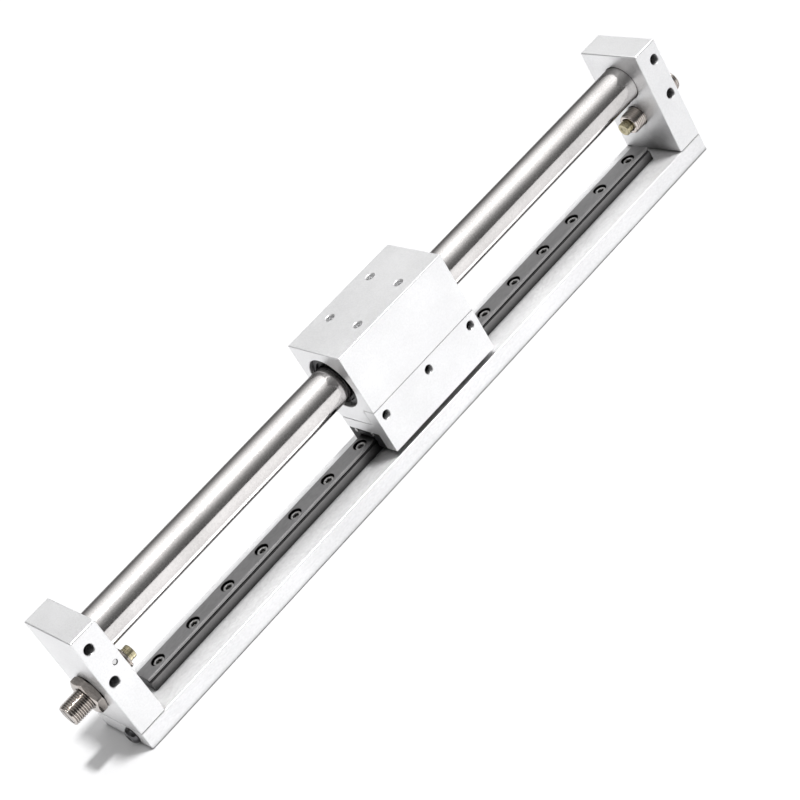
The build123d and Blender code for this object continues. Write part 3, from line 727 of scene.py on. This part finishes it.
# Button-head screws that close the air channel
def make_channel_plug(end, side):
    node = "channel_plug_" + end
    low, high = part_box(node)
    face = side * PLATE_OUTER
    height = high[0] - face if side > 0 else face - low[0]
    length = face - low[0] if side > 0 else high[0] - face
    center = middle(node)
    radius = box_radius(node)
    rings = [(-length, BUTTON_SHANK - BUTTON_POINT), (-length + BUTTON_POINT, BUTTON_SHANK),
             (-BUTTON_STEP, BUTTON_SHANK), (0.0, radius - BUTTON_RIM_INSET),
             (BUTTON_RIM, radius)]
    for i in range(1, BUTTON_STEPS):
        turn = math.pi / 2 * i / BUTTON_STEPS
        rings.append((BUTTON_RIM + (height - BUTTON_RIM) * math.sin(turn),
                      BUTTON_FLAT + (radius - BUTTON_FLAT) * math.cos(turn)))
    rings += [(height, BUTTON_FLAT * BUTTON_FLAT_SHARE),
              (height, lambda turn: hexagon(BUTTON_SOCKET + BUTTON_SOCKET_FLARE, turn)),
              (height - BUTTON_SOCKET_CHAMFER, lambda turn: hexagon(BUTTON_SOCKET, turn)),
              (height - BUTTON_SOCKET_DEPTH, lambda turn: hexagon(BUTTON_SOCKET, turn)),
              (height - BUTTON_DRILL_DEPTH, BUTTON_DRILL_END)]
    shape = bmesh.new()
    turned(shape, rings, (face, center.y, center.z), (side, 0, 0), TURNED_STEPS)
    finish_piece(mesh_object(node + "_button", shape), node, smooth_angle=50)


def make_lock_nut(end):
    node = "lock_nut_" + end
    low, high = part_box(node)
    center = middle(node)
    flats = high[1] - low[1]
    thick = high[0] - low[0]
    circle = flats / 2 * NUT_CIRCLE_SHARE

    def corner(turn):
        return hexagon(flats, turn - LOCK_NUT_TURN)

    def drop(turn):
        return (corner(turn) - circle) / NUT_CHAMFER_SLOPE

    flare = ABSORBER_HOLE + NUT_FLARE
    rings = [(0.0, flare), (0.0, circle), (drop, corner),
             (lambda turn: thick - drop(turn), corner), (thick, circle), (thick, flare),
             (thick - NUT_FLARE_DEPTH, ABSORBER_HOLE), (NUT_FLARE_DEPTH, ABSORBER_HOLE)]
    shape = bmesh.new()
    turned(shape, rings, (low[0], center.y, center.z), X_UP, THREAD_STEPS, closed=True)
    finish_piece(mesh_object(node + "_chamfered", shape), node, smooth_angle=25)


# Threaded absorber bodies: one true helix of thread on each
def make_absorber(end, side):
    node = "absorber_body_" + end
    low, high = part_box(node)
    center = middle(node)
    crest = box_radius(node)
    length = high[0] - low[0]
    start = high[0] if side < 0 else low[0]
    rows = int(round(length / THREAD_PITCH * ROWS_PER_PITCH))
    rings = [(0.0, ABSORBER_BORE)]
    for row in range(rows + 1):
        along = length * row / rows
        margin = min(1.0, min(along, length - along) / THREAD_CHAMFER)
        limit = crest - THREAD_DEPTH * (1 - margin)

        def radius(turn, along=along, limit=limit):
            phase = (along / THREAD_PITCH + side * turn / (2 * math.pi)) % 1.0
            height = min(1.0, max(0.0, abs(phase - 0.5) * THREAD_SLOPE - THREAD_ROOT))
            return min(limit, crest - THREAD_DEPTH * (1 - height))

        rings.append((along, radius))
    rings.append((length, ABSORBER_BORE))
    shape = bmesh.new()
    turned(shape, rings, (start, center.y, center.z), (side, 0, 0), THREAD_STEPS, closed=True)
    finish_piece(mesh_object(node + "_thread", shape), node, smooth_angle=60)


# End plug of an absorber, with a nearly upright slot
def make_end_plug(end, side):
    node = "absorber_end_plug_" + end
    low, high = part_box(node)
    center = middle(node)
    radius = box_radius(node)
    length = high[0] - low[0]
    inner, outer = (low[0], high[0]) if side > 0 else (high[0], low[0])
    rings = [(0, radius), (length - PLUG_CHAMFER, radius), (length, radius - PLUG_CHAMFER)]
    shape = bmesh.new()
    turned(shape, rings, (inner, center.y, center.z), (side, 0, 0), TURNED_STEPS)
    piece = mesh_object(node + "_slotted", shape)
    slot = bmesh.new()
    bmesh.ops.create_cube(slot, size=1.0)
    size = Vector((2 * SLOT_DEPTH, SLOT_WIDTH, 4 * radius))
    turn = Matrix.Rotation(SLOT_TURN, 3, "X")
    place = Vector((outer, center.y, center.z))
    for vert in slot.verts:
        vert.co = turn @ Vector(a * b for a, b in zip(vert.co, size)) + place
    finish_piece(cut(piece, slot), node, smooth_angle=30)


# Plunger cap: a ring groove in its middle, a rounded front and a shallow dimple
def make_plunger_cap(end, side):
    node = "plunger_cap_" + end
    low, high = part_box(node)
    center = middle(node)
    radius = box_radius(node)
    length = high[0] - low[0]
    start = low[0] if side < 0 else high[0]
    start_down, bottom, start_up, top = [length * at for at in PLUNGER_GROOVE_PLACES]
    rings = [(0, radius - PLUNGER_EDGE), (PLUNGER_EDGE, radius), (start_down, radius),
             (bottom, radius - PLUNGER_GROOVE), (start_up, radius - PLUNGER_GROOVE),
             (top, radius), (length - PLUNGER_ROUND, radius)]
    for i in range(1, PLUNGER_STEPS + 1):
        turn = math.pi / 2 * i / PLUNGER_STEPS
        rings.append((length - PLUNGER_ROUND * (1 - math.sin(turn)),
                      radius - PLUNGER_ROUND * (1 - math.cos(turn))))
    rings += [(length, radius * PLUNGER_DIMPLE_SHARE),
              (length - PLUNGER_DIMPLE, radius * PLUNGER_DIMPLE_END)]
    shape = bmesh.new()
    turned(shape, rings, (start, center.y, center.z), (-side, 0, 0), TURNED_STEPS)
    finish_piece(mesh_object(node + "_turned", shape), node, smooth_angle=50)


# Ball plug: pressed in until its dome is all but flush
def make_ball_plug():
    low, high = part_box("port_ball_plug")
    center = middle("port_ball_plug")
    depth = high[1] - low[1]
    rings = [(-depth, 0.4 * BALL_RADIUS), (-0.7 * depth, 0.92 * BALL_RADIUS),
             (-0.5 * depth, BALL_RADIUS), (-BALL_EDGE, BALL_RADIUS)]
    for i in range(1, BALL_STEPS):
        share = i / BALL_STEPS
        rings.append((-BALL_RISE * (1 - share) ** 2,
                      BALL_RADIUS * (1 - 0.12 * (1 + 6 * share))))
    shape = bmesh.new()
    turned(shape, rings, (center.x, low[1], center.z), Y_FRONT, HOLE_STEPS)
    piece = mesh_object("port_ball_plug_pressed", shape)
    finish_piece(piece, "port_ball_plug", smooth_angle=60)


def make_refined(node, finish=None):
    """A small node's own shape with its sharp edges broken."""
    shape = bmesh.new()
    shape.from_mesh(frame["nodes"][node].data)
    bmesh.ops.remove_doubles(shape, verts=shape.verts, dist=MESH_WELD)
    bmesh.ops.dissolve_limit(shape, angle_limit=FLAT_ANGLE, verts=shape.verts,
                             edges=shape.edges)
    piece = rounded(mesh_object(node + "_finished", shape), SMALL_EDGE, segments=2, angle=35)
    finish_piece(piece, node, smooth_angle=30, finish=finish)


make_tube()
make_base()
make_slider()
make_rail()
make_cap_screws("rail_screws", True, RAIL_HEAD_RADIUS, RAIL_HEAD_HEIGHT, phosphated)
make_cap_screws("end_plate_screws", False, PLATE_HEAD_RADIUS, PLATE_HEAD_HEIGHT)
make_ball_plug()
for end, side in (("near", -1), ("far", 1)):
    make_end_plate(end, side)
    make_absorber(end, side)
    make_end_plug(end, side)
    make_lock_nut(end)
    make_plunger_cap(end, side)
    make_channel_plug(end, side)
make_refined("guide_end_caps")
make_refined("guide_end_seals")
make_refined("guide_cap_screws", phosphated)

# The CAD's own nodes get their slot's finish, for those of them that still show
for node, thing in frame["nodes"].items():
    for slot in thing.material_slots:
        slot.material = materials[node_slots[node]]
for slot in frame["nodes"]["retaining_rings"].material_slots:
    slot.material = blackened

# Floor
bpy.ops.mesh.primitive_plane_add(size=2 * FLOOR_REACH, location=(0, 0, -FLOOR_DROP))
floor = bpy.context.object
floor.name = "floor"
floor_material, floor_shader, tools = node_material("pale floor")
add, link = tools
floor_shader.inputs["Base Color"].default_value = (*FLOOR_COLOR, 1)
floor_shader.inputs["Roughness"].default_value = FLOOR_ROUGHNESS
floor_shader.inputs["Specular IOR Level"].default_value = 0.0
floor_shader.inputs["Emission Color"].default_value = (1, 1, 1, 1)
spot = separated(tools, "ShaderNodeTexCoord", "Object")
toward_front = ranged(tools, spot["Y"], GLOW_BACK_Y, GLOW_FRONT_Y, GLOW_BACK, GLOW_FRONT,
                      "SMOOTHSTEP")
toward_far = ranged(tools, spot["X"], GLOW_FULL_X, GLOW_FAR_X, 1.0, GLOW_FAR, "SMOOTHSTEP")
spread_glow = computed(tools, "MULTIPLY", toward_front, toward_far)
# The glow fades close to and under the base, which paints a contact shadow round the part's
# foot
base_low, base_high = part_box("base_plate")
past_x = computed(tools, "SUBTRACT", computed(tools, "ABSOLUTE", spot["X"]), base_high[0])
past_y = computed(tools, "SUBTRACT", computed(tools, "ABSOLUTE", spot["Y"]), base_high[1])
outside = computed(tools, "MAXIMUM", past_x, past_y)
painted_contact_shadow = ranged(tools, outside, GLOW_FADE_START, GLOW_FADE_END, kind="SMOOTHSTEP")
glow = computed(tools, "MULTIPLY", spread_glow, painted_contact_shadow)
link(glow, floor_shader.inputs["Emission Strength"])
floor.data.materials.append(floor_material)

# Soft studio light: one long box overhead, dim towards the horizons
world = bpy.data.worlds.new("studio")
bpy.context.scene.world = world
world.use_nodes = True
background = world.node_tree.nodes["Background"]
tools = node_tools(world.node_tree)
add, link = tools
way = separated(tools, "ShaderNodeTexCoord", "Generated")
flipped = computed(tools, "MULTIPLY", way["Y"], -1.0)
angle = computed(tools, "ARCTAN2", way["Z"], flipped)
ramp = add("ShaderNodeValToRGB")
while len(ramp.color_ramp.elements) < len(SKY):
    ramp.color_ramp.elements.new(0.5)
# A new place can change the order of the ramp's elements, so their colours come after
for element, (degrees, level) in zip(ramp.color_ramp.elements, SKY):
    element.position = degrees / 180
for element, (degrees, level) in zip(ramp.color_ramp.elements, SKY):
    element.color = (level / SKY_TOP, level / SKY_TOP, level / SKY_TOP, 1)
link(computed(tools, "DIVIDE", angle, math.pi), ramp.inputs["Fac"])
away = computed(tools, "ABSOLUTE", computed(tools, "SUBTRACT", way["X"], BOX_MIDDLE))
dimming = ranged(tools, away, BOX_FULL, BOX_END, 1.0, BOX_REST, "SMOOTHERSTEP")
dimmed = scaled(tools, ramp.outputs["Color"], dimming)
link(dimmed, background.inputs["Color"])
background.inputs["Strength"].default_value = SKY_TOP

# The brightest part of the light, nearly overhead, which draws the short shadows
key_data = bpy.data.lights.new("key", "SUN")
key_data.energy = KEY_ENERGY
key_data.angle = KEY_WIDTH
key = bpy.data.objects.new("key", key_data)
bpy.context.scene.collection.objects.link(key)
key.rotation_mode = "QUATERNION"
key.rotation_quaternion = Vector(KEY_FROM).to_track_quat("Z", "Y")

# Camera
camera_data = bpy.data.cameras.new("camera")
camera_data.lens = CAMERA_LENS
camera_data.sensor_width = CAMERA_SENSOR
camera_data.clip_start = CAMERA_CLIP_START
camera_data.clip_end = CAMERA_CLIP_END
camera = bpy.data.objects.new("camera", camera_data)
bpy.context.scene.collection.objects.link(camera)
back = -CAMERA_LOOK.normalized()
right = CAMERA_RIGHT.normalized()
up = back.cross(right)
pose = Matrix((right, up, back)).transposed().to_4x4()
camera.matrix_world = Matrix.Translation(CAMERA_PLACE) @ pose
bpy.context.scene.camera = camera

bpy.context.scene.view_settings.view_transform = "Standard"
